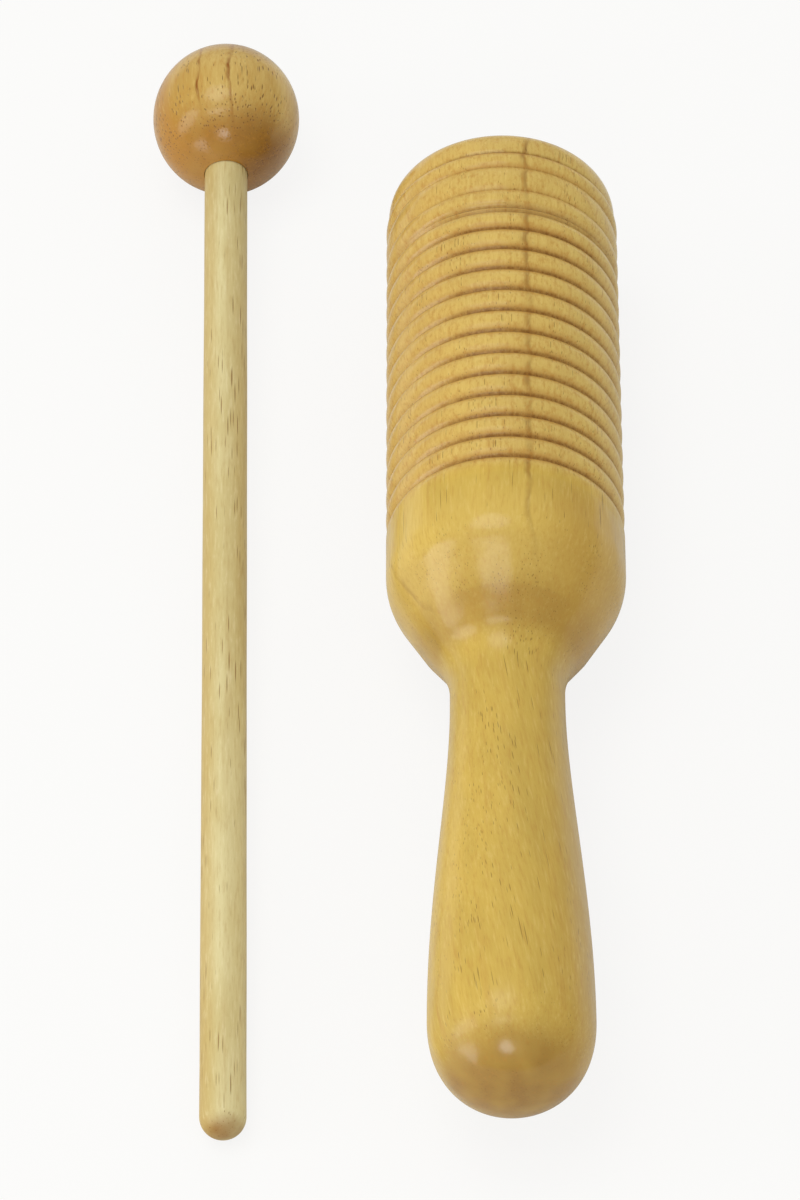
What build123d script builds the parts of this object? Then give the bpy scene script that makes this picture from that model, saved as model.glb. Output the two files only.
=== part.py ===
from build123d import *
from math import asin, cos, radians, sin, sqrt
import os

# A hand-held ridged woodblock and its beater, lying side by side on a floor at z = 0.
# Millimetres, +Z up. The handle points to -Y and the open end of the barrel to +Y.

# Block, turned from one billet: lengths along its axis, from the handle to the open end
handle_length = 99.2
neck_length = 6.9
cone_length = 8.7
shoulder_length = 11.5
barrel_length = 101.6
bulb_place = 17.5
bulb_diameter = 30.9
neck_diameter = 21.8
crease_diameter = 33.6
barrel_diameter = 46.0
end_run = 8.0  # how far the blunt end carries outwards before it turns along
bulb_back = 12.5  # how far the bulb's width carries back into the end
bulb_run = 29.2  # how far the bulb's width carries on into the taper
neck_run = 21.4  # how far the neck's width carries back into the taper
neck_cove = 16.0
shoulder_round = 16.0

# Ridges for scraping: rounded ribs between V grooves, all the way round the barrel
groove_pitch = 5.3
groove_depth = 0.9
plain_band = 14.5  # least length between the ridges and the shoulder's corner
soft_groove_count = 3  # the grooves next to the rim are sanded shallower
soft_groove_depth = 0.6
twin_groove_place = 4  # counted from the rim: this groove was cut twice
twin_spacing = 1.1
twin_ridge_height = 0.4

# Rim: the last rib is drawn in and rolls over to the flat end face
rim_length = 4.4
rim_depth = 2.95
rim_set_in = 0.5
rim_rib_run = 1.7  # from the first groove up to the crown of the rim

# Resonance chamber bored from the open end, and the sound slot through the wall below it
chamber_diameter = 25.0
chamber_depth = 76.0
mouth_chamfer = 1.0
slot_width = 6.0
slot_length = 62.0

# Beater: a turned head on a dowel that is glued into a blind socket
head_diameter = 29.8
head_length = 31.6
socket_depth = 18.0
glue_gap = 0.05
stick_diameter = 8.7
stick_length = 249.7
stick_end_chamfer = 0.6
tip_length = 4.3

# How the two lie beside each other
axis_gap = 55.8  # across, from the block's axis to the middle of the head
head_ahead = 252.9  # along, from the end of the handle to the middle of the head
beater_yaw = 0.72

# Block radii, and stations along its axis
bulb_radius = bulb_diameter / 2
neck_radius = neck_diameter / 2
crease_radius = crease_diameter / 2
barrel_radius = barrel_diameter / 2
chamber_radius = chamber_diameter / 2
neck_start = handle_length - neck_length
crease_station = handle_length + cone_length
shoulder_corner = crease_station + shoulder_length
block_length = shoulder_corner + barrel_length

# Groove count and places, measured from the open rim
rib_half = groove_pitch / 2
first_groove = rim_length + rim_rib_run
groove_count = 1 + int((barrel_length - first_groove - plain_band) // groove_pitch)

# Beater, measured along its axis from the middle of the head towards the tip
head_radius = head_diameter / 2
head_half = head_length / 2
stick_radius = stick_diameter / 2
stick_inner_end = head_half - socket_depth
tip_base = stick_inner_end + stick_length - tip_length
beater_tilt = asin((head_radius - stick_radius) / tip_base)


def rest_height(half_length, radius):
    """Height of the middle of a tilted ellipsoid that touches the floor."""
    return sqrt((half_length * sin(beater_tilt)) ** 2 + (radius * cos(beater_tilt)) ** 2)


# Places in plan: the origin is under the middle of the box round both pieces
half_width = (head_radius + axis_gap + barrel_radius) / 2
block_x = half_width - barrel_radius
head_x = head_radius - half_width
stick_run = tip_base * cos(beater_tilt)
stick_run_x = stick_run * sin(radians(beater_yaw))
stick_run_y = stick_run * cos(radians(beater_yaw))
near_end = min(0, head_ahead - stick_run_y - tip_length)
far_end = max(block_length, head_ahead + head_half)
handle_end_y = -(near_end + far_end) / 2
head_y = handle_end_y + head_ahead
head_centre = Vector(head_x, head_y, rest_height(head_half, head_radius))
tip_centre = Vector(head_x + stick_run_x, head_y - stick_run_y, rest_height(tip_length, stick_radius))
stick_direction = (tip_centre - head_centre).normalized()

# Planes of the turned profiles: X follows the turning axis and Y points outwards
block_plane = Plane((block_x, handle_end_y, barrel_radius), x_dir=(0, 1, 0), z_dir=(1, 0, 0))
beater_plane = Plane(head_centre, x_dir=stick_direction, z_dir=stick_direction.cross(Vector(0, 0, 1)))
block_axis = Axis(block_plane.origin, block_plane.x_dir)
beater_axis = Axis(beater_plane.origin, beater_plane.x_dir)

# Planes that the bored holes start from, facing out of their mouths
rim_plane = Plane(block_plane.from_local_coords((block_length, 0, 0)), z_dir=block_plane.x_dir)
socket_plane = Plane(beater_plane.from_local_coords((head_half, 0, 0)), z_dir=stick_direction)


def groove_bottom(place):
    """Points of one groove's bottom, from its shoulder side to its rim side."""
    station = block_length - first_groove - (place - 1) * groove_pitch
    depth = soft_groove_depth if place <= soft_groove_count else groove_depth
    bottom = barrel_radius - depth
    if place == 1:
        bottom -= rim_set_in / 2
    if place != twin_groove_place:
        return [(station, bottom)]
    return [
        (station - twin_spacing / 2, bottom),
        (station, bottom + twin_ridge_height),
        (station + twin_spacing / 2, bottom),
    ]


def rib(start, end):
    """Rounded rib from one groove's bottom to the next, as high as the barrel."""
    crown = ((start[0] + end[0]) / 2, barrel_radius)
    TangentArc(crown, start, tangent=(-1, 0))
    TangentArc(crown, end, tangent=(1, 0))


# Grooves in the order of the profile, from the shoulder to the rim
grooves = [groove_bottom(place) for place in range(groove_count, 0, -1)]
ridges_start = grooves[0][0][0] - rib_half
rim_crown = (block_length - rim_length, barrel_radius - rim_set_in)

# Block body: handle, neck, shoulder and ridged barrel turned as one profile, then bored and slotted
with BuildPart() as block_body:
    with BuildSketch(block_plane):
        with BuildLine():
            blunt_end = Bezier(
                (0, 0),
                (0, end_run),
                (bulb_place - bulb_back, bulb_radius),
                (bulb_place, bulb_radius),
            )
            taper = Bezier(
                blunt_end @ 1,
                (bulb_place + bulb_run, bulb_radius),
                (neck_start - neck_run, neck_radius),
                (neck_start, neck_radius),
            )
            neck = FilletPolyline(
                taper @ 1,
                (handle_length, neck_radius),
                (crease_station, crease_radius),
                radius=neck_cove,
            )
            shoulder = FilletPolyline(
                neck @ 1,
                (shoulder_corner, barrel_radius),
                (ridges_start, barrel_radius),
                radius=shoulder_round,
            )
            TangentArc(shoulder @ 1, grooves[0][0], tangent=(1, 0))
            for groove in grooves:
                if len(groove) > 1:
                    Polyline(*groove)
            for groove, next_groove in zip(grooves, grooves[1:]):
                rib(groove[-1], next_groove[0])
            TangentArc(rim_crown, grooves[-1][-1], tangent=(-1, 0))
            roll_centre = (rim_crown[0], rim_crown[1] - rim_depth)
            rim = EllipticalCenterArc(roll_centre, rim_length, rim_depth, start_angle=0, arc_size=90)
            Polyline(rim @ 0, (block_length, 0), blunt_end @ 0)
        make_face()
    revolve(axis=block_axis)
    with Locations(rim_plane):
        mouth_radius = chamber_radius + mouth_chamfer
        CounterSinkHole(chamber_radius, mouth_radius, chamber_depth, counter_sink_angle=90)
    with BuildSketch(Plane.XY):
        with Locations((block_x, handle_end_y + block_length)):
            SlotOverall(2 * slot_length, slot_width, rotation=90)
    extrude(amount=barrel_radius, both=True, mode=Mode.SUBTRACT)

# Beater head: a slightly long ball with a blind socket for the stick
with BuildPart() as beater_head:
    with BuildSketch(beater_plane):
        with BuildLine():
            ball = EllipticalCenterArc((0, 0), head_half, head_radius, start_angle=0, arc_size=180)
            Line(ball @ 1, ball @ 0)
        make_face()
    revolve(axis=beater_axis)
    with Locations(socket_plane):
        Hole(stick_radius + glue_gap, socket_depth)

# Beater stick: a dowel with a chamfered inner end and a domed tip
with BuildPart() as beater_stick:
    with BuildSketch(beater_plane):
        with BuildLine():
            tip = EllipticalCenterArc((tip_base, 0), tip_length, stick_radius, start_angle=0, arc_size=90)
            Polyline(
                tip @ 1,
                (stick_inner_end + stick_end_chamfer, stick_radius),
                (stick_inner_end, stick_radius - stick_end_chamfer),
                (stick_inner_end, 0),
                tip @ 0,
            )
        make_face()
    revolve(axis=beater_axis)

os.makedirs("parts", exist_ok=True)
block_body.part.label = "block_body"
beater_head.part.label = "beater_head"
beater_stick.part.label = "beater_stick"
export_step(block_body.part, "parts/block_body.step")
export_step(beater_head.part, "parts/beater_head.step")
export_step(beater_stick.part, "parts/beater_stick.step")

beater_length = stick_length - socket_depth + head_length
print("block", block_length, "mm long, with", groove_count, "grooves")
print("beater", beater_length, "mm long")
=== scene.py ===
from math import asin, atan2, cos, degrees, hypot, pi, radians, sin, tan

import bpy
from mathutils import Euler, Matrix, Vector


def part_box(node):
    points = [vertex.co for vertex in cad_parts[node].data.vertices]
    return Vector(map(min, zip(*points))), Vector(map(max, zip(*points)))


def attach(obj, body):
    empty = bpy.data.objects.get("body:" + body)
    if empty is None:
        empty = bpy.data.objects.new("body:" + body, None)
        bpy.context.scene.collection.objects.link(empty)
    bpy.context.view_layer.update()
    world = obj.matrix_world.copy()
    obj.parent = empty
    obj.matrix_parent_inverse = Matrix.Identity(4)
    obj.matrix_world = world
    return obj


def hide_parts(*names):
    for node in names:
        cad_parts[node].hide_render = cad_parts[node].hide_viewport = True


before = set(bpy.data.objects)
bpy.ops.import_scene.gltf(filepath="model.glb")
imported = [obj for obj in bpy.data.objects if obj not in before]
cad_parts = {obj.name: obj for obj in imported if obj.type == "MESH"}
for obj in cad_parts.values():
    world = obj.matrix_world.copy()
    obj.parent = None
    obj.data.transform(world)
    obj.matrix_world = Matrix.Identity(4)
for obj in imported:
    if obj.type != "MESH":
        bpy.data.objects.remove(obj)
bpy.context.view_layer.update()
mm = 0.001  # every size below is in millimetres
hair = 0.01  # slack when two places are compared
print("frame loaded:", ", ".join(sorted(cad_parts)))


# ways to draw a profile: lists of (station along the axis, radius)
def bezierPoints(start, pullStart, pullEnd, end, count):
    corners = (start, pullStart, pullEnd, end)
    points = []
    for step in range(count + 1):
        gone = step / count
        left = 1 - gone
        weights = (left ** 3, 3 * gone * left ** 2, 3 * gone * gone * left, gone ** 3)
        station = sum(weight * corner[0] for weight, corner in zip(weights, corners))
        radius = sum(weight * corner[1] for weight, corner in zip(weights, corners))
        points.append((station, radius))
    return points


def arcPoints(centre, width, height, startAngle, endAngle, count):
    # angles in degrees, 0 along the axis and 90 outwards
    points = []
    for step in range(count + 1):
        angle = radians(startAngle + (endAngle - startAngle) * step / count)
        points.append((centre[0] + width * cos(angle), centre[1] + height * sin(angle)))
    return points


def filletPoints(before, corner, after, radius, count):
    # arc that rounds one corner of a profile
    corner = Vector(corner)
    back = (Vector(before) - corner).normalized()
    ahead = (Vector(after) - corner).normalized()
    half = back.angle(ahead) / 2
    centre = corner + (back + ahead).normalized() * (radius / sin(half))
    start = corner + back * (radius / tan(half)) - centre
    end = corner + ahead * (radius / tan(half)) - centre
    arms = [start.slerp(end, step / count).normalized() * radius for step in range(count + 1)]
    return [tuple(centre + arm) for arm in arms]


def selectOnly(piece):
    bpy.ops.object.select_all(action="DESELECT")
    bpy.context.view_layer.objects.active = piece
    piece.select_set(True)


shortestStep = 0.001  # points of a profile closer than this are one point
seamWidth = 0.003  # corners of a turned mesh closer than this are joined


def turnPiece(name, profile, origin, along, outward, steps):
    # draws the profile vertex by vertex, then spins it about the turning axis
    points = [origin + along * (station * mm) + outward * (radius * mm) for station, radius in profile]
    bpy.ops.object.select_all(action="DESELECT")
    bpy.ops.mesh.primitive_plane_add(size=mm, location=(0, 0, 0))
    piece = bpy.context.active_object
    piece.name = name
    bpy.ops.object.mode_set(mode="EDIT")
    bpy.ops.mesh.select_all(action="SELECT")
    bpy.ops.mesh.merge(type="CENTER")
    bpy.ops.transform.translate(value=points[0])
    for here, there in zip(points, points[1:]):
        if (there - here).length > shortestStep * mm:
            bpy.ops.mesh.extrude_vertices_move(TRANSFORM_OT_translate={"value": there - here})
    bpy.ops.mesh.select_all(action="SELECT")
    bpy.ops.mesh.spin(steps=steps, angle=2 * pi, center=origin, axis=along)
    bpy.ops.mesh.select_all(action="SELECT")
    bpy.ops.mesh.remove_doubles(threshold=seamWidth * mm)
    bpy.ops.mesh.normals_make_consistent(inside=False)
    bpy.ops.object.mode_set(mode="OBJECT")
    return piece


# block body: handle, neck, shoulder and ridged barrel, bored from the far end and slotted below
block = {
    "handleLength": 99.2,
    "neckLength": 6.9,
    "coneLength": 8.7,
    "shoulderLength": 11.5,
    "bulbPlace": 17.5,
    "bulbRadius": 15.45,
    "neckRadius": 10.9,
    "creaseRadius": 16.8,
    "endRun": 8.0,
    "bulbBack": 12.5,
    "bulbRun": 29.2,
    "neckRun": 21.4,
    "neckCove": 16.0,
    "shoulderRound": 16.0,
    "rimLength": 4.4,
    "rimDepth": 2.95,
    "rimSetIn": 0.5,
    "firstGroove": 6.1,  # from the rim
    "groovePitch": 5.3,
    "grooveCount": 16,
    "grooveDepth": 0.9,
    "softGrooves": 3,
    "softDepth": 0.6,
    "twinGroove": 4,
    "twinSpacing": 1.1,
    "twinRidge": 0.4,
    "feedDrift": 0.5,  # how far the turner's hand ran ahead of the even pitch, and behind it
    "driftPlace": 6,  # the groove furthest ahead
    "earlyGroove": 2,
    "earlyBy": 0.9,
    "chamberRadius": 12.5,
    "chamberDepth": 76.0,
    "mouthChamfer": 1.0,
    "slotWidth": 6.0,
    "slotLength": 62.0,
    "cutterBelow": 5.0,  # the slot's cutter starts this far under the floor
    "endSteps": 32,
    "taperSteps": 40,
    "coveSteps": 16,
    "shoulderSteps": 20,
    "ribSteps": 7,
    "rimRibSteps": 5,
    "rimRollSteps": 14,
    "slotSteps": 48,
    "turnSteps": 180,
}

blockLow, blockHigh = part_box("block_body")
barrelRadius = (blockHigh.z - blockLow.z) / 2 / mm
blockLength = (blockHigh.y - blockLow.y) / mm
blockOrigin = Vector(((blockLow.x + blockHigh.x) / 2, blockLow.y, (blockLow.z + blockHigh.z) / 2))
chamberFloor = blockLength - block["chamberDepth"]
slotRadius = block["slotWidth"] / 2
slotRound = blockLength - block["slotLength"] + slotRadius  # middle of the slot's round end


def grooveStation(place):
    # grooves are counted from the rim, and the drift swings once over all of them
    ahead = block["feedDrift"] * cos(2 * pi * (place - block["driftPlace"]) / block["grooveCount"])
    if place == block["earlyGroove"]:
        ahead = block["earlyBy"]
    return blockLength - block["firstGroove"] - (place - 1) * block["groovePitch"] + ahead


def grooveBottom(place):
    station = grooveStation(place)
    depth = block["softDepth"] if place <= block["softGrooves"] else block["grooveDepth"]
    bottom = barrelRadius - depth
    if place == 1:
        bottom -= block["rimSetIn"] / 2
    if place != block["twinGroove"]:
        return [(station, bottom)]
    half = block["twinSpacing"] / 2
    return [(station - half, bottom), (station, bottom + block["twinRidge"]), (station + half, bottom)]


def ribSide(crown, bottom, count):
    # round side of a rib, from its crown down to a groove's bottom
    run = bottom[0] - crown[0]
    drop = crown[1] - bottom[1]
    radius = (run * run + drop * drop) / (2 * drop)
    points = []
    for step in range(count + 1):
        angle = asin(run / radius) * step / count
        points.append((crown[0] + radius * sin(angle), crown[1] - radius * (1 - cos(angle))))
    return points


def blockProfile():
    # blunt end, bulb and long taper
    bulb = (block["bulbPlace"], block["bulbRadius"])
    beforeBulb = (bulb[0] - block["bulbBack"], bulb[1])
    afterBulb = (bulb[0] + block["bulbRun"], bulb[1])
    neck = (block["handleLength"] - block["neckLength"], block["neckRadius"])
    beforeNeck = (neck[0] - block["neckRun"], neck[1])
    points = bezierPoints((0, 0), (0, block["endRun"]), beforeBulb, bulb, block["endSteps"])
    points += bezierPoints(bulb, afterBulb, beforeNeck, neck, block["taperSteps"])
    # hollow cove, low crease and round shoulder
    foot = (block["handleLength"], block["neckRadius"])
    crease = (foot[0] + block["coneLength"], block["creaseRadius"])
    corner = (crease[0] + block["shoulderLength"], barrelRadius)
    barrelEnd = (blockLength, barrelRadius)
    points += filletPoints(neck, foot, crease, block["neckCove"], block["coveSteps"])
    points.append(crease)
    points += filletPoints(crease, corner, barrelEnd, block["shoulderRound"], block["shoulderSteps"])
    # ribs between the grooves, in the order from the shoulder to the rim
    grooves = [grooveBottom(place) for place in range(block["grooveCount"], 0, -1)]
    firstCrown = (grooves[0][0][0] - block["groovePitch"] / 2, barrelRadius)
    points += ribSide(firstCrown, grooves[0][0], block["ribSteps"])
    for groove, nextGroove in zip(grooves, grooves[1:]):
        crown = ((groove[-1][0] + nextGroove[0][0]) / 2, barrelRadius)
        points += groove
        points += ribSide(crown, groove[-1], block["ribSteps"])[::-1]
        points += ribSide(crown, nextGroove[0], block["ribSteps"])
    # the rim's rib is drawn in and rolls over to the end face, then come mouth and chamber
    rimCrown = (blockLength - block["rimLength"], barrelRadius - block["rimSetIn"])
    rollCentre = (rimCrown[0], rimCrown[1] - block["rimDepth"])
    points += ribSide(rimCrown, grooves[-1][-1], block["rimRibSteps"])[::-1]
    points += arcPoints(rollCentre, block["rimLength"], block["rimDepth"], 90, 0, block["rimRollSteps"])
    points += [
        (blockLength, block["chamberRadius"] + block["mouthChamfer"]),
        (blockLength - block["mouthChamfer"], block["chamberRadius"]),
        (chamberFloor, block["chamberRadius"]),
        (chamberFloor, 0),
    ]
    return points


def cutSlot(piece):
    # a round-ended cutter from below, through the wall into the chamber
    start = Vector((blockOrigin.x, blockOrigin.y + slotRound * mm, -block["cutterBelow"] * mm))
    bpy.ops.object.select_all(action="DESELECT")
    bpy.ops.mesh.primitive_circle_add(
        vertices=block["slotSteps"], radius=slotRadius * mm, fill_type="NGON", location=start
    )
    cutter = bpy.context.active_object
    bpy.ops.object.transform_apply(location=True)
    bpy.context.tool_settings.mesh_select_mode = (True, False, False)
    bpy.ops.object.mode_set(mode="EDIT")
    bpy.ops.mesh.select_all(action="DESELECT")
    bpy.ops.object.mode_set(mode="OBJECT")
    for vertex in cutter.data.vertices:
        vertex.select = vertex.co.y > start.y + hair * mm
    bpy.ops.object.mode_set(mode="EDIT")
    bpy.ops.transform.translate(value=(0, block["slotLength"] * mm, 0))
    bpy.ops.mesh.select_all(action="SELECT")
    bpy.ops.mesh.extrude_region_move(TRANSFORM_OT_translate={"value": (0, 0, barrelRadius * mm)})
    bpy.ops.mesh.select_all(action="SELECT")
    bpy.ops.mesh.normals_make_consistent(inside=False)
    bpy.ops.object.mode_set(mode="OBJECT")
    selectOnly(piece)
    cut = piece.modifiers.new("soundSlot", "BOOLEAN")
    cut.operation = "DIFFERENCE"
    cut.solver = "EXACT"
    cut.object = cutter
    bpy.ops.object.modifier_apply(modifier=cut.name)
    selectOnly(cutter)
    bpy.ops.object.delete()


blockAlong = Vector((0, 1, 0))
blockBelow = Vector((0, 0, -1))
blockBody = turnPiece("blockBody", blockProfile(), blockOrigin, blockAlong, blockBelow, block["turnSteps"])
cutSlot(blockBody)
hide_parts("block_body")
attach(blockBody, "block")
print("block turned:", len(blockBody.data.polygons), "faces")


# beater: a turned ball with a blind socket, on a dowel with a domed tip
beater = {
    "headRadius": 14.9,
    "headHalf": 15.8,  # half its length, along the stick
    "socketDepth": 18.0,
    "socketGap": 0.05,
    "socketEase": 0.25,  # broken edge of the socket's mouth
    "stickRadius": 4.35,
    "stickLength": 249.7,
    "innerChamfer": 0.6,
    "tipLength": 4.3,
    "sanding": 0.05,  # how far the sanded dowel dips below its full size
    "sandingWaves": [(0.3, 19.0, 0.0), (0.2, 7.3, 1.0)],  # share of the dip, run in each radian, start
    "sandingEase": 12.0,  # the dips run out this far before the tip
    "yaw": 0.72,  # degrees
    "ballSteps": 72,
    "dowelSteps": 90,
    "tipSteps": 18,
    "headTurnSteps": 128,
    "stickTurnSteps": 72,
}

stickStart = beater["headHalf"] - beater["socketDepth"]
tipBase = stickStart + beater["stickLength"] - beater["tipLength"]
beaterTilt = asin((beater["headRadius"] - beater["stickRadius"]) / tipBase)
beaterYaw = radians(beater["yaw"])
headLow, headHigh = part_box("beater_head")
headReach = hypot(beater["headHalf"] * cos(beaterTilt), beater["headRadius"] * sin(beaterTilt)) * mm
headCentre = Vector(((headLow.x + headHigh.x) / 2, headHigh.y - headReach, (headLow.z + headHigh.z) / 2))
stickAlong = Vector((cos(beaterTilt) * sin(beaterYaw), -cos(beaterTilt) * cos(beaterYaw), -sin(beaterTilt)))
beaterSide = Vector((cos(beaterYaw), sin(beaterYaw), 0))
beaterBelow = beaterSide.cross(stickAlong)


def headProfile():
    mouth = beater["stickRadius"] + beater["socketGap"]
    ease = beater["socketEase"]
    mouthAngle = degrees(asin((mouth + ease) / beater["headRadius"]))
    points = arcPoints(
        (0, 0), beater["headHalf"], beater["headRadius"], 180, mouthAngle, beater["ballSteps"]
    )
    mouthStation = points[-1][0]
    points += [
        (mouthStation + ease / 3, mouth + ease / 2),  # the mouth has no sharp edge
        (mouthStation, mouth),
        (stickStart, mouth),
        (stickStart, 0),
    ]
    return points


def stickProfile():
    dowelStart = stickStart + beater["innerChamfer"]
    points = [(stickStart, 0), (stickStart, beater["stickRadius"] - beater["innerChamfer"])]
    for step in range(beater["dowelSteps"] + 1):
        station = dowelStart + (tipBase - dowelStart) * step / beater["dowelSteps"]
        dip = sum(share * (1 + sin(station / run + start)) for share, run, start in beater["sandingWaves"])
        ease = min(1, (tipBase - station) / beater["sandingEase"])
        points.append((station, beater["stickRadius"] - beater["sanding"] * dip * ease))
    return points + arcPoints(
        (tipBase, 0), beater["tipLength"], beater["stickRadius"], 90, 0, beater["tipSteps"]
    )


beaterLie = (headCentre, stickAlong, beaterBelow)
beaterHead = turnPiece("beaterHead", headProfile(), *beaterLie, beater["headTurnSteps"])
beaterStick = turnPiece("beaterStick", stickProfile(), *beaterLie, beater["stickTurnSteps"])
beaterPieces = (
    (beaterHead, "beater_head", "head_wood"),
    (beaterStick, "beater_stick", "stick_wood"),
)
for piece, node, slot in beaterPieces:
    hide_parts(node)
    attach(piece, "beater")
print("beater turned:", len(beaterHead.data.polygons), "and", len(beaterStick.data.polygons), "faces")


# finishes
def hexColour(code):
    channels = [int(code[place:place + 2], 16) / 255 for place in (1, 3, 5)]
    linear = [part / 12.92 if part <= 0.04045 else ((part + 0.055) / 1.055) ** 2.4 for part in channels]
    return (*linear, 1)


def emptyTree(owner):
    owner.use_nodes = True
    owner.node_tree.nodes.clear()
    return owner.node_tree


def addNode(tree, kind, settings=None, links=None):
    # settings name either a property of the node or one of its sockets
    node = tree.nodes.new(kind)
    for key, value in (settings or {}).items():
        if isinstance(key, str) and hasattr(node, key):
            setattr(node, key, value)
        else:
            node.inputs[key].default_value = value
    for key, output in (links or {}).items():
        tree.links.new(output, node.inputs[key])
    return node


# noise in the wood: its cells in millimetres across the grain and along it, the place that it follows,
# and the places that it shifts across the grain, with the name that each has afterwards
woodPatterns = {
    "wander": {
        "follows": "place",
        "size": (30, 70),
        "detail": 1,
        "roughness": 0.5,
        "shifts": {"place": "wandered", "leant": "grain"},
    },
    "waver": {
        "follows": "place",
        "size": (5, 6),
        "detail": 2,
        "roughness": 0.5,
        "shifts": {"wandered": "wavered"},
    },
    "sanding": {"follows": "place", "size": (7, 11), "detail": 1, "roughness": 0.5},
    "tearing": {"follows": "place", "size": (0.8, 1.8), "detail": 3, "roughness": 0.7},
    "tone": {"follows": "grain", "size": (9, 34), "detail": 2, "roughness": 0.5},
    "streak": {"follows": "grain", "size": (1.3, 42), "detail": 3, "roughness": 0.6},
    # real fibres are too fine to show, so they are drawn coarser
    "fibre": {"follows": "grain", "size": (0.5, 4.5), "detail": 3, "roughness": 0.65},
    "cluster": {"follows": "grain", "size": (5, 22), "detail": 1, "roughness": 0.5},
}


def woodFields(tree, look, centre, turn):
    # what the finish asks of a spot in the wood: places are in millimetres about the turning axis,
    # X across, Y along the grain and Z up
    coords = addNode(tree, "ShaderNodeTexCoord")
    place = addNode(
        tree,
        "ShaderNodeMapping",
        {"vector_type": "TEXTURE", "Location": centre, "Rotation": turn, "Scale": (mm, mm, mm)},
        {"Vector": coords.outputs["Object"]},
    ).outputs[0]
    apart = addNode(tree, "ShaderNodeSeparateXYZ", {}, {0: place})
    across, station, up = apart.outputs
    flat = addNode(tree, "ShaderNodeVectorMath", {"operation": "MULTIPLY", 1: (1, 0, 1)}, {0: place})
    radius = addNode(tree, "ShaderNodeVectorMath", {"operation": "LENGTH"}, {0: flat.outputs[0]})
    # end grain shows where the surface faces along the axis
    axis = Vector((0, 1, 0))
    axis.rotate(turn)
    facing = addNode(
        tree, "ShaderNodeVectorMath", {"operation": "DOT_PRODUCT", 1: axis}, {0: coords.outputs["Normal"]}
    )
    facingSize = addNode(tree, "ShaderNodeMath", {"operation": "ABSOLUTE"}, {0: facing.outputs["Value"]})
    # the grain leans in the handle
    lean = addNode(
        tree,
        "ShaderNodeMapRange",
        {"From Min": look["leanFrom"], "From Max": 0, "To Max": -look["lean"]},
        {"Value": station},
    )
    leaning = addNode(tree, "ShaderNodeCombineXYZ", {}, {0: lean.outputs[0]})
    leant = addNode(tree, "ShaderNodeVectorMath", {"operation": "ADD"}, {0: place, 1: leaning.outputs[0]})
    fields = {
        "place": place,
        "leant": leant.outputs[0],
        "across": across,
        "station": station,
        "up": up,
        "radius": radius.outputs["Value"],
        "facing": facingSize.outputs[0],
    }
    for name, pattern in woodPatterns.items():
        cellAcross, cellAlong = pattern["size"]
        cells = addNode(
            tree,
            "ShaderNodeVectorMath",
            {"operation": "MULTIPLY", 1: (1 / cellAcross, 1 / cellAlong, 1 / cellAcross)},
            {0: fields[pattern["follows"]]},
        )
        noise = addNode(
            tree,
            "ShaderNodeTexNoise",
            {"Scale": 1, "Detail": pattern["detail"], "Roughness": pattern["roughness"]},
            {"Vector": cells.outputs[0]},
        )
        fields[name] = noise.outputs[0]
        for before, after in pattern.get("shifts", {}).items():
            # by half the reach at most, either way
            swing = addNode(
                tree,
                "ShaderNodeVectorMath",
                {"operation": "SUBTRACT", 1: (0.5, 0.5, 0.5)},
                {0: noise.outputs["Color"]},
            )
            shifted = addNode(
                tree,
                "ShaderNodeVectorMath",
                {"operation": "MULTIPLY_ADD", 1: (look[name], 0, look[name])},
                {0: swing.outputs[0], 2: fields[before]},
            )
            fields[after] = shifted.outputs[0]
    return fields


def amountWhere(tree, fields, where, within=None):
    # each field fades in softly from its first value to its second, and all of them have to agree
    amount = within
    for name, start, full in where:
        part = addNode(
            tree,
            "ShaderNodeMapRange",
            {"interpolation_type": "SMOOTHSTEP", "From Min": start, "From Max": full},
            {"Value": fields[name]},
        ).outputs[0]
        if amount is not None:
            part = addNode(tree, "ShaderNodeMath", {"operation": "MULTIPLY"}, {0: amount, 1: part}).outputs[0]
        amount = part
    return amount


def stain(tree, under, over, share, amount):
    # lays a colour over another one, sockets 6 and 7 of the mix
    covered = addNode(
        tree, "ShaderNodeMath", {"operation": "MULTIPLY", "use_clamp": True, 1: share}, {0: amount}
    )
    return addNode(
        tree,
        "ShaderNodeMix",
        {"data_type": "RGBA", 7: hexColour(over)},
        {0: covered.outputs[0], 6: under},
    ).outputs[2]


def vesselAmount(tree, fields, look):
    # vessels are thin ellipsoids along the grain, thicker where they cluster
    thickness = addNode(
        tree,
        "ShaderNodeMapRange",
        {
            "From Min": look["clusterFrom"],
            "From Max": look["clusterTo"],
            "To Min": look["vesselFew"],
            "To Max": look["vesselMany"],
        },
        {"Value": fields["cluster"]},
    )
    across = look["vesselAcross"]
    cells = addNode(
        tree,
        "ShaderNodeVectorMath",
        {"operation": "MULTIPLY", 1: (1 / across, 1 / look["vesselAlong"], 1 / across)},
        {0: fields["grain"]},
    )
    nearest = addNode(tree, "ShaderNodeTexVoronoi", {"Scale": 1}, {"Vector": cells.outputs[0]})
    fromVessel = addNode(
        tree,
        "ShaderNodeMath",
        {"operation": "DIVIDE"},
        {0: nearest.outputs["Distance"], 1: thickness.outputs[0]},
    )
    fields["fromVessel"] = fromVessel.outputs[0]
    return amountWhere(tree, fields, look["vesselWhere"])


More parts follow.
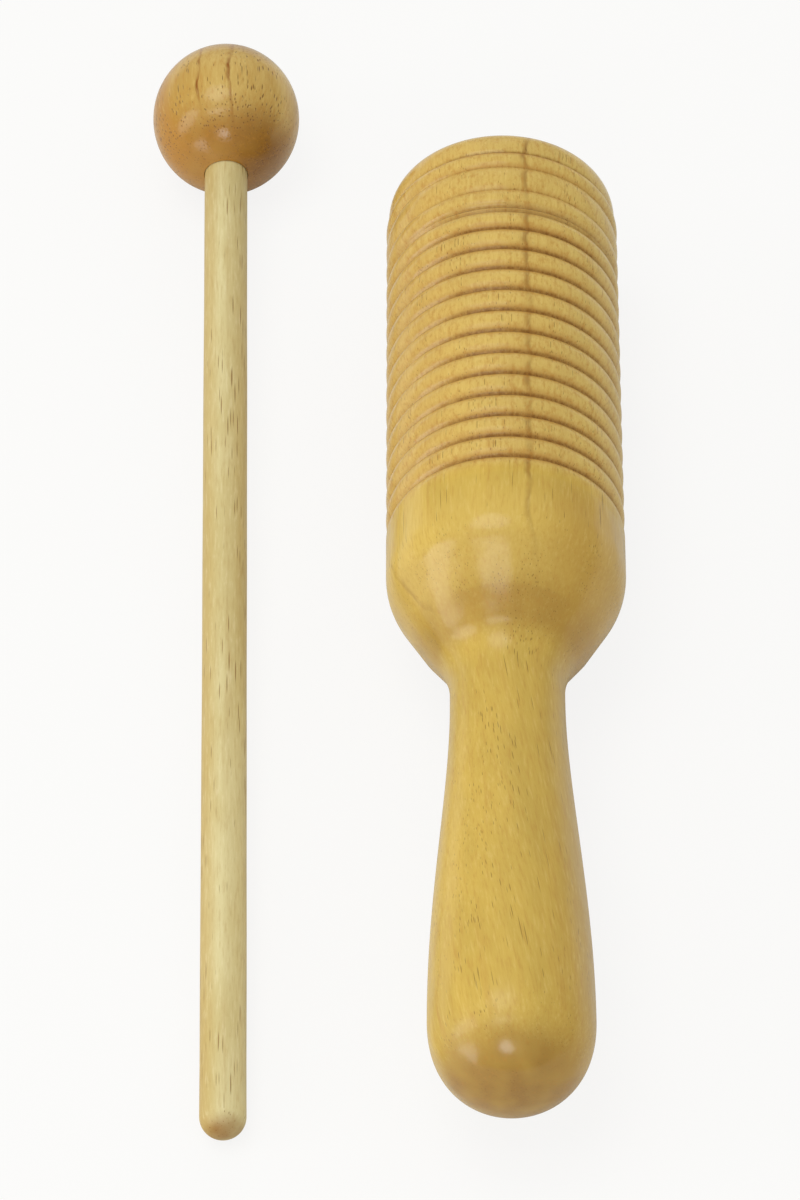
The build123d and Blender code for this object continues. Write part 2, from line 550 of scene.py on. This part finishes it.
def stainedWood(tree, fields, look):
    # pale and golden wood with streaks, end grain that drinks the finish unevenly, and patches of other
    # tones, some of them painted light and shade
    pale = addNode(tree, "ShaderNodeRGB")
    pale.outputs[0].default_value = hexColour(look["pale"])
    golden = amountWhere(tree, fields, look["goldWhere"])
    colour = stain(tree, pale.outputs[0], look["gold"], 1, golden)
    streaked = amountWhere(tree, fields, look["streakWhere"])
    colour = stain(tree, colour, look["amber"], look["streakShare"], streaked)
    thirst = addNode(
        tree,
        "ShaderNodeMapRange",
        {
            "From Min": look["thirstFrom"],
            "From Max": look["thirstTo"],
            "To Min": look["thirstLeast"],
            "To Max": look["thirstMost"],
        },
        {"Value": fields["cluster"]},
    )
    endGrain = amountWhere(tree, fields, [("facing", look["endFrom"], look["endTo"])], thirst.outputs[0])
    colour = stain(tree, colour, look["endBrown"], look["endShare"], endGrain)
    for patch in look["patches"]:
        amount = amountWhere(tree, fields, patch["where"], endGrain if patch.get("onEndGrain") else None)
        colour = stain(tree, colour, patch["colour"], patch["share"], amount)
    return colour


def growthLines(tree, fields, look, colour):
    # a growth line darkens slowly towards its edge, then stops short, and comes and goes along the billet
    strength = addNode(
        tree,
        "ShaderNodeMapRange",
        {
            "From Min": look["growthFrom"],
            "From Max": look["growthTo"],
            "To Min": look["growthLeast"],
            "To Max": look["growthMost"],
        },
        {"Value": fields["waver"]},
    )
    for line in look["growthLines"]:
        fromPith = addNode(
            tree,
            "ShaderNodeVectorMath",
            {"operation": "MULTIPLY_ADD", 1: (1, 0, 1), 2: (-line["pithX"], 0, -line["pithZ"])},
            {0: fields["wavered"]},
        )
        distance = addNode(tree, "ShaderNodeVectorMath", {"operation": "LENGTH"}, {0: fromPith.outputs[0]})
        fields["fromPith"] = distance.outputs["Value"]
        edge = line["radius"]
        sides = [
            ("fromPith", edge - line["width"], edge),
            ("fromPith", edge + line["width"] * look["growthStop"], edge),
        ]
        amount = amountWhere(tree, fields, sides + line["where"], strength.outputs[0])
        colour = stain(tree, colour, look["growthBrown"], line["share"], amount)
    return colour


def ridgedAmount(tree, fields, ridges):
    # the ridged length, less at the groove that was cut twice
    nearTwin = addNode(
        tree,
        "ShaderNodeMath",
        {"operation": "COMPARE", 1: ridges["twin"], 2: ridges["twinReach"]},
        {0: fields["station"]},
    )
    taken = addNode(
        tree,
        "ShaderNodeMapRange",
        {"To Min": 1, "To Max": ridges["twinShare"]},
        {"Value": nearTwin.outputs[0]},
    )
    return amountWhere(tree, fields, ridges["where"], taken.outputs[0])


def ridgeStainAndShade(tree, fields, ridges, ridged, colour):
    # scraping roughed the fibres up; the ribs' flanks get end-grain stain with painted shade, and the grooves
    # painted shade
    torn = amountWhere(tree, fields, ridges["tornWhere"])
    colour = stain(tree, colour, ridges["orange"], ridges["tornShare"], torn)
    # painted shade on the flanks of the ribs, over the stain that their end grain takes
    cut = amountWhere(tree, fields, ridges["flankStainAndShadeWhere"], ridged)
    colour = stain(tree, colour, ridges["orange"], ridges["flankStainAndShadeShare"], cut)
    broken = addNode(
        tree,
        "ShaderNodeMapRange",
        {
            "From Min": ridges["brokenFrom"],
            "From Max": ridges["brokenTo"],
            "To Min": ridges["brokenLeast"],
            "To Max": ridges["brokenMost"],
        },
        {"Value": fields["tearing"]},
    )
    lined = addNode(tree, "ShaderNodeMath", {"operation": "MULTIPLY"}, {0: ridged, 1: broken.outputs[0]})
    # painted shade in the groove bottoms, broken up by the torn fibres
    grooveShade = amountWhere(tree, fields, ridges["grooveShadeWhere"], lined.outputs[0])
    return stain(tree, colour, ridges["brown"], ridges["grooveShadeShare"], grooveShade)


def lacqueredWood(name, look, centre, turn):
    # rubberwood turned and sanded under clear lacquer: fine fibre, short dark vessel dashes along the grain
    # that turn to dots on end grain, soft reddish growth lines, and end grain that drank the finish
    material = bpy.data.materials.new(name)
    tree = emptyTree(material)
    fields = woodFields(tree, look, centre, turn)
    vessels = vesselAmount(tree, fields, look)
    colour = stainedWood(tree, fields, look)
    colour = growthLines(tree, fields, look, colour)
    links = {}
    if "ridges" in look:
        ridges = look["ridges"]
        ridged = ridgedAmount(tree, fields, ridges)
        colour = ridgeStainAndShade(tree, fields, ridges, ridged, colour)
        # little lacquer was left standing there
        links["Coat Weight"] = addNode(
            tree,
            "ShaderNodeMapRange",
            {"To Min": look["coat"], "To Max": look["coat"] * ridges["coatLeft"]},
            {"Value": ridged},
        ).outputs[0]
    if "grip" in look:
        # hands rub the lacquer duller along the grip
        links["Coat Roughness"] = addNode(
            tree,
            "ShaderNodeMapRange",
            {"To Min": look["coatRoughness"], "To Max": look["grip"]["roughness"]},
            {"Value": amountWhere(tree, fields, look["grip"]["where"])},
        ).outputs[0]
    # fibres and vessels show through every tone
    darkFibre = amountWhere(tree, fields, look["darkFibreWhere"])
    colour = stain(tree, colour, look["amber"], look["darkFibreShare"], darkFibre)
    sideGrain = amountWhere(tree, fields, [("facing", look["endTo"], look["endFrom"])])
    paleFibre = amountWhere(tree, fields, look["paleFibreWhere"], sideGrain)
    colour = stain(tree, colour, look["paleFibre"], look["paleFibreShare"], paleFibre)
    colour = stain(tree, colour, look["vesselBrown"], look["vesselShare"], vessels)

    # vessels sink a little into the lacquer, and hand sanding leaves the surface faintly uneven
    uneven = addNode(
        tree,
        "ShaderNodeBump",
        {"Strength": 1, "Distance": look["unevenness"] * mm},
        {"Height": fields["sanding"]},
    )
    combed = addNode(
        tree,
        "ShaderNodeBump",
        {"Strength": 1, "Distance": look["fibreDepth"] * mm},
        {"Height": fields["fibre"], "Normal": uneven.outputs[0]},
    )
    sunk = addNode(
        tree,
        "ShaderNodeBump",
        {"invert": True, "Strength": 1, "Distance": look["vesselDepth"] * mm},
        {"Height": vessels, "Normal": combed.outputs[0]},
    )
    # lacquer fills the vessels of a flooded coat, and follows them in a thin one
    lacquer = combed if look["vesselsFilled"] else sunk
    links.update({"Base Color": colour, "Normal": sunk.outputs[0], "Coat Normal": lacquer.outputs[0]})
    shader = addNode(
        tree,
        "ShaderNodeBsdfPrincipled",
        {
            "Roughness": look["roughness"],
            "IOR": look["ior"],
            "Specular IOR Level": look["specular"],
            "Coat Weight": look["coat"],
            "Coat Roughness": look["coatRoughness"],
            "Coat IOR": look["ior"],
        },
        links,
    )
    addNode(tree, "ShaderNodeOutputMaterial", {}, {"Surface": shader.outputs[0]})
    return material


# what all the pieces share: sizes and places in millimetres, and in each "where" a field of the wood,
# the value at which it starts to show and the value at which it shows in full
rubberwood = {
    "pale": "#d4b250",
    "gold": "#caa94b",
    "amber": "#b98234",
    "paleFibre": "#e8cd7c",
    "endBrown": "#99702e",
    "growthBrown": "#8e5f20",
    "vesselBrown": "#6b4509",
    "wander": 2.5,
    "waver": 2.2,
    "lean": 0.0,
    "leanFrom": 95.0,
    "goldWhere": [("tone", 0.36, 0.66)],
    "streakWhere": [("streak", 0.5, 0.74)],
    "streakShare": 0.25,
    "darkFibreWhere": [("fibre", 0.5, 0.7)],
    "darkFibreShare": 0.3,
    "paleFibreWhere": [("fibre", 0.48, 0.3)],
    "paleFibreShare": 0.25,
    "fibreDepth": 0.012,
    "vesselAcross": 0.4,
    "vesselAlong": 15.0,
    "vesselWhere": [("fromVessel", 1.0, 0.45)],
    "clusterFrom": 0.36,  # noise levels between which the vessels thicken
    "clusterTo": 0.66,
    "vesselFew": 0.06,
    "vesselMany": 0.29,
    "vesselShare": 0.55,
    "vesselDepth": 0.02,
    "vesselsFilled": True,
    "unevenness": 0.35,
    "endFrom": 0.22,
    "endTo": 0.8,
    "endShare": 0.85,
    "thirstFrom": 0.32,  # noise levels between which end grain drinks more
    "thirstTo": 0.68,
    "thirstLeast": 0.77,  # share of its finish that it drinks there
    "thirstMost": 1.09,
    "growthFrom": 0.36,  # noise levels between which growth lines darken
    "growthTo": 0.6,
    "growthLeast": 0.35,
    "growthMost": 1.15,
    "growthStop": 0.45,  # share of its width over which a growth line stops
    "roughness": 0.5,
    "ior": 1.5,
    "specular": 0.15,
    "coat": 0.9,
    "coatRoughness": 0.16,
    "patches": [],
    "growthLines": [],
}
# block: golden wood under a full satin coat, duller where the hand grips it, with thinner lacquer, torn
# fibres and painted shade on the ribs
blockLook = dict(
    rubberwood,
    lean=14.0,  # how far the grain has moved across by the end of the handle
    grip={"where": [("station", 2, 9), ("station", 104, 92)], "roughness": 0.26},
    patches=[
        # paler barrel with a warm left flank and a yellow right one
        {"where": [("station", 131, 135)], "share": 0.35, "colour": "#e2c47c"},
        {"where": [("station", 131, 135), ("across", -4, -18)], "share": 0.35, "colour": "#c89a48"},
        {"where": [("station", 131, 135), ("across", 6, 18)], "share": 0.3, "colour": "#dcc070"},
        # painted light on the shoulder, and painted shade on the right side from there to the handle's end
        {"where": [("station", 106, 112), ("station", 130, 122)], "share": 0.4, "colour": "#e0bf62"},
        {"where": [("across", 3, 15), ("station", 133, 127)], "share": 0.45, "colour": "#b98a2c"},
        # painted shade below the crease
        {
            "where": [
                ("station", 99, 107),
                ("station", 108.4, 107.6),
                ("across", -15, -6),
                ("across", 16, 7),
                ("up", 2, 8),
            ],
            "share": 0.3,
            "colour": "#a67a34",
        },
    ],
    growthLines=[
        {
            "pithX": -17.1,
            "pithZ": 13.0,
            "radius": 23.6,
            "width": 1.2,
            "share": 0.6,
            "where": [("station", 100, 140)],
        },
        {
            "pithX": -29.7,
            "pithZ": 44.6,
            "radius": 39.1,
            "width": 0.9,
            "share": 0.4,
            "where": [("station", 106, 110), ("station", 124, 118), ("across", -11, -15)],
        },
    ],
    ridges={
        # the ribs' painted shade and thinner lacquer fade out towards both flanks of the barrel
        "where": [
            ("station", 130, 131),
            ("station", 215.4, 214.4),
            ("across", -20, -3),
            ("across", 32, 8),
        ],
        "twin": 199.0,  # the groove that was cut twice gets less of the ribs' painted shade and keeps more lacquer
        "twinReach": 2.0,
        "twinShare": 0.35,
        "orange": "#b57a2c",
        "tornWhere": [("tearing", 0.47, 0.68), ("station", 130, 134)],
        "tornShare": 0.4,
        # end-grain stain with painted shade on the ribs' flanks
        "flankStainAndShadeWhere": [("facing", 0.15, 0.6)],
        "flankStainAndShadeShare": 0.5,
        # colour of the painted shade in the grooves
        "brown": "#7a4f16",
        "grooveShadeWhere": [("radius", 22.6, 22.2)],
        "grooveShadeShare": 0.72,
        "brokenFrom": 0.35,  # torn fibres break the painted shade lines in the grooves
        "brokenTo": 0.6,
        "brokenLeast": 0.5,
        "brokenMost": 1.1,
        "coatLeft": 0.4,
    },
)
# head: browner and glossier, with open vessels that break the shine up into short dark dashes
headLook = dict(
    rubberwood,
    pale="#cfae60",
    gold="#c39c4c",
    endBrown="#a47124",
    growthBrown="#8a4d08",
    vesselBrown="#6e4510",
    endFrom=0.25,
    endShare=0.9,
    thirstLeast=0.9,
    thirstMost=1.1,
    darkFibreShare=0.45,
    fibreDepth=0.035,
    vesselsFilled=False,
    vesselAcross=0.52,
    vesselAlong=7.0,
    vesselFew=0.14,
    vesselMany=0.36,
    vesselShare=0.75,
    vesselDepth=0.05,
    unevenness=0.25,
    coat=0.8,
    coatRoughness=0.12,
    patches=[
        # painted shade below, orange on the left, and darker end grain on the right, partly painted shade
        {"where": [("up", 8, -6)], "share": 0.6, "colour": "#b4822f"},
        {"where": [("across", -5, -12), ("up", 13, 6)], "share": 0.9, "colour": "#b47a14"},
        {"where": [("across", -4, 12)], "share": 0.65, "colour": "#704a1c", "onEndGrain": True},
    ],
    growthLines=[
        {
            "pithX": -40.0,
            "pithZ": 5.0,
            "radius": 35.5,
            "width": 0.8,
            "share": 0.9,
            "where": [("station", -9, -2)],
        },
        {
            "pithX": -40.0,
            "pithZ": 5.0,
            "radius": 42.0,
            "width": 0.9,
            "share": 0.95,
            "where": [("station", -13, -6)],
        },
    ],
)
# stick: pale sanded dowel under a thin coat, almost matt, with sparse brown dashes
stickLook = dict(
    rubberwood,
    pale="#dccf99",
    gold="#d0bf84",
    amber="#b8975a",
    paleFibre="#efe4b8",
    endBrown="#94682f",
    vesselBrown="#86591c",
    wander=0.8,
    endFrom=0.15,
    endTo=0.95,
    thirstLeast=0.5,
    thirstMost=1.2,
    vesselAcross=0.5,
    vesselAlong=11.0,
    vesselMany=0.32,
    vesselShare=0.75,
    coat=0.3,
    coatRoughness=0.35,
    # warmer on the left
    patches=[{"where": [("across", -0.5, -4)], "share": 0.6, "colour": "#bf9d50"}],
)
# inside the chamber and the slot the tools left the wood bare and a little rough
boredLook = dict(
    rubberwood,
    pale="#dcc083",
    gold="#d0b06c",
    darkFibreShare=0.4,
    fibreDepth=0.03,
    roughness=0.7,
    coat=0.0,
)
smoothBelow = 32  # degrees: sharper edges stay sharp

blockTurn = Euler((0, 0, 0))
beaterTurn = Euler((beaterTilt, 0, beaterYaw))
blockWood = lacqueredWood("lacqueredRubberwood", blockLook, blockOrigin, blockTurn)
headWood = lacqueredWood("lacqueredBrownRubberwood", headLook, headCentre, beaterTurn)
stickWood = lacqueredWood("sandedPaleDowel", stickLook, headCentre, beaterTurn)
boredWood = lacqueredWood("bareBoredRubberwood", boredLook, blockOrigin, blockTurn)
for piece, material in ((blockBody, blockWood), (beaterHead, headWood), (beaterStick, stickWood)):
    piece.data.materials.clear()
    piece.data.materials.append(material)
    selectOnly(piece)
    bpy.ops.object.shade_smooth_by_angle(angle=radians(smoothBelow))

blockBody.data.materials.append(boredWood)
for face in blockBody.data.polygons:
    spot = (face.center - blockOrigin) / mm
    inChamber = spot.y > chamberFloor - hair and hypot(spot.x, spot.z) < block["chamberRadius"] + hair
    inSlot = spot.z < 0 and hypot(spot.x, min(0, spot.y - slotRound)) < slotRadius + hair
    face.material_index = int(inChamber or inSlot)
print("finishes made")


# studio: pale floor, soft lamps and the photo's camera
studio = {
    "floorSize": 8000.0,
    "floorColour": "#e3e0d5",
    "floorGlow": 0.85,  # share of plain white that the camera sees in the floor
    "fill": 0.56,  # light from the white tent all round
    "tentInGloss": 0.2,  # how bright the lacquer sees that tent
    "lamps": [
        # name, direction from the middle, distance, size round the pieces' axis and along it, watts,
        # and whether the lacquer mirrors it
        ("overheadSoftbox", (-0.24, -0.07, 0.97), 1300, 900, 900, 2.1, False),
        ("backSoftbox", (0.0, 0.95, 0.31), 1300, 700, 700, 3.2, False),
        ("leftSoftbox", (-0.97, -0.14, 0.2), 1100, 850, 850, 0.8, False),
        ("topLamp", (-0.22, 0.12, 0.968), 1300, 800, 560, 2.0, True),
        ("nearTopLamp", (-0.22, -0.34, 0.914), 1300, 820, 180, 0.9, True),
        ("leftLamp", (-0.92, -0.16, 0.36), 1100, 860, 320, 1.5, True),
        ("frontLamp", (-0.09, -0.83, 0.56), 1300, 400, 400, 2.1, True),
        ("lowSideLamp", (-0.727, -0.682, 0.085), 531, 250, 250, 0.44, True),
    ],
}
photoCamera = {
    "elevation": 50.0,
    "distance": 1367.2,
    "lookAt": (3.55, 2.84, 0.0),
    "focalPixels": 7000.0,
    "framePixels": 1200.0,  # height of the photo
    "filmHeight": 36.0,
    "nearest": 10.0,
}


def studioPaper(name):
    # matt paper that the camera sees mostly as plain white, with a faint shadow
    material = bpy.data.materials.new(name)
    tree = emptyTree(material)
    matt = addNode(tree, "ShaderNodeBsdfDiffuse", {"Color": hexColour(studio["floorColour"])})
    white = addNode(tree, "ShaderNodeEmission", {"Strength": 1})
    ray = addNode(tree, "ShaderNodeLightPath")
    glow = addNode(
        tree,
        "ShaderNodeMath",
        {"operation": "MULTIPLY", 1: studio["floorGlow"]},
        {0: ray.outputs["Is Camera Ray"]},
    )
    mixed = addNode(
        tree, "ShaderNodeMixShader", {}, {0: glow.outputs[0], 1: matt.outputs[0], 2: white.outputs[0]}
    )
    addNode(tree, "ShaderNodeOutputMaterial", {}, {"Surface": mixed.outputs[0]})
    return material


def lightTent(name):
    # the camera sees plain white, the wood a soft fill and the lacquer a darker tent
    world = bpy.data.worlds.new(name)
    tree = emptyTree(world)
    ray = addNode(tree, "ShaderNodeLightPath")
    inGloss = addNode(
        tree,
        "ShaderNodeMapRange",
        {"To Min": studio["fill"], "To Max": studio["tentInGloss"]},
        {"Value": ray.outputs["Is Glossy Ray"]},
    )
    level = addNode(
        tree,
        "ShaderNodeMapRange",
        {"To Max": 1},
        {"Value": ray.outputs["Is Camera Ray"], "To Min": inGloss.outputs[0]},
    )
    light = addNode(tree, "ShaderNodeBackground", {"Color": (1, 1, 1, 1)}, {"Strength": level.outputs[0]})
    addNode(tree, "ShaderNodeOutputWorld", {}, {"Surface": light.outputs[0]})
    return world


bpy.ops.object.select_all(action="DESELECT")
bpy.ops.mesh.primitive_plane_add(size=studio["floorSize"] * mm, location=(0, 0, 0))
floor = bpy.context.active_object
floor.name = "floor"
floor.data.materials.append(studioPaper("whiteStudioPaper"))
bpy.context.scene.world = lightTent("studioWorld")

for lampName, direction, distance, sizeRound, sizeAlong, watts, mirrored in studio["lamps"]:
    toward = Vector(direction).normalized()
    bpy.ops.object.light_add(type="AREA", location=toward * (distance * mm))
    lamp = bpy.context.active_object
    lamp.name = lampName
    lamp.data.shape = "ELLIPSE"
    lamp.data.size = sizeRound * mm
    lamp.data.size_y = sizeAlong * mm
    lamp.data.energy = watts
    lamp.rotation_euler = (-asin(toward.y), atan2(toward.x, toward.z), 0)
    lamp.visible_camera = False
    lamp.visible_glossy = mirrored

elevation = radians(photoCamera["elevation"])
lookAt = Vector(photoCamera["lookAt"]) * mm
stand = lookAt + Vector((0, -cos(elevation), sin(elevation))) * (photoCamera["distance"] * mm)
bpy.ops.object.camera_add(location=stand)
camera = bpy.context.active_object
camera.rotation_euler = (lookAt - stand).to_track_quat("-Z", "Y").to_euler()
camera.data.sensor_fit = "VERTICAL"
camera.data.sensor_height = photoCamera["filmHeight"]
camera.data.lens = photoCamera["focalPixels"] / photoCamera["framePixels"] * photoCamera["filmHeight"]
camera.data.clip_start = photoCamera["nearest"] * mm
bpy.context.scene.camera = camera
bpy.context.scene.view_settings.view_transform = "Standard"
print("studio lit")
